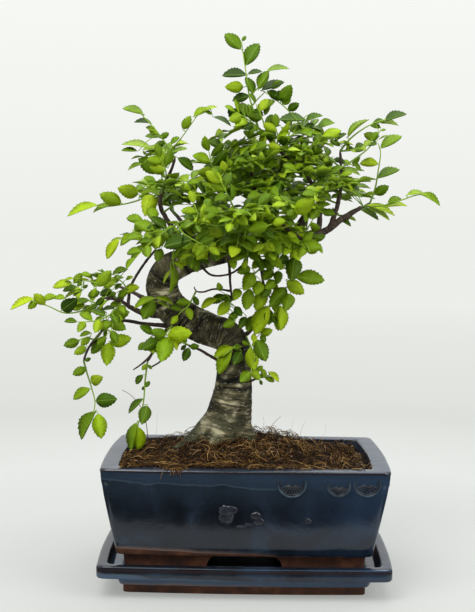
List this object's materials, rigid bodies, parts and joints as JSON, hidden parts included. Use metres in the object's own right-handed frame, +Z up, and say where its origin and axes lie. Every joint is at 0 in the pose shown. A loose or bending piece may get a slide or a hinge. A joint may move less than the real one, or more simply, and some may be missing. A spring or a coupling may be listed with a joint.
{
  "type": "zelkova bonsai in pot",
  "caption": "S-curved zelkova bonsai with serrated leaves on hanging and upright shoots, in a glazed rectangular pot on a matching saucer.",
  "frame": {"origin": "centre of the saucer's foot, on the surface that it stands on", "axes": "+Z up along the tree's height, +X along the pot's long side to the right of the tree's front, -Y towards the front"},
  "size_m": [0.3408, 0.1898, 0.4423],
  "materials": {
    "saucer_glaze": "gloss",
    "pot_glaze": "gloss",
    "drain_mesh": "matte",
    "soil": "matte",
    "bark": "matte",
    "leaf": "satin"
  },
  "bodies": {
    "root": {"saucer": "saucer_glaze", "pot": "pot_glaze", "drain_mesh_left": "drain_mesh", "drain_mesh_right": "drain_mesh", "soil": "soil", "tree_wood": "bark", "spray_apex": "leaf", "spray_apexRight": "leaf", "spray_armFront": "leaf", "spray_bendFront": "leaf", "spray_bendLeft": "leaf", "spray_centreBackFill1": "leaf", "spray_centreBackFill2": "leaf", "spray_centreFrontFill1": "leaf", "spray_centreUpFill1": "leaf", "spray_centreUpFill2": "leaf", "spray_elbowTip": "leaf", "spray_frontLoop": "leaf", "spray_frontStubTip": "leaf", "spray_hangingInner": "leaf", "spray_hangingLeft": "leaf", "spray_hangingLeftBright": "leaf", "spray_hangingLeftTop": "leaf", "spray_hangingLow": "leaf", "spray_hangingMiddle": "leaf", "spray_hangingOuter": "leaf", "spray_innerHangerTip": "leaf", "spray_innerTwigTip": "leaf", "spray_leftBackFill1": "leaf", "spray_leftBackFill2": "leaf", "spray_leftBackTip": "leaf", "spray_leftDroop": "leaf", "spray_leftDroopLow": "leaf", "spray_leftFar": "leaf", "spray_leftFrontFill1": "leaf", "spray_leftHigh": "leaf", "spray_leftLong": "leaf", "spray_leftLower": "leaf", "spray_leftMiddle": "leaf", "spray_leftRiserTip": "leaf", "spray_leftTop": "leaf", "spray_leftUpFill1": "leaf", "spray_leftUpper": "leaf", "spray_limbTop": "leaf", "spray_lowStub": "leaf", "spray_middleUpFill1": "leaf", "spray_middleUpFill2": "leaf", "spray_rightBackFill1": "leaf", "spray_rightBackFill2": "leaf", "spray_rightFar": "leaf", "spray_rightFrontFill1": "leaf", "spray_rightFrontFill2": "leaf", "spray_rightRise": "leaf", "spray_rightSweep": "leaf", "spray_rightUpFill1": "leaf", "spray_rightUpright": "leaf", "spray_trunkBright": "leaf", "spray_trunkCentre": "leaf", "spray_trunkRight": "leaf", "spray_underArm": "leaf"}
  },
  "joints": []
}
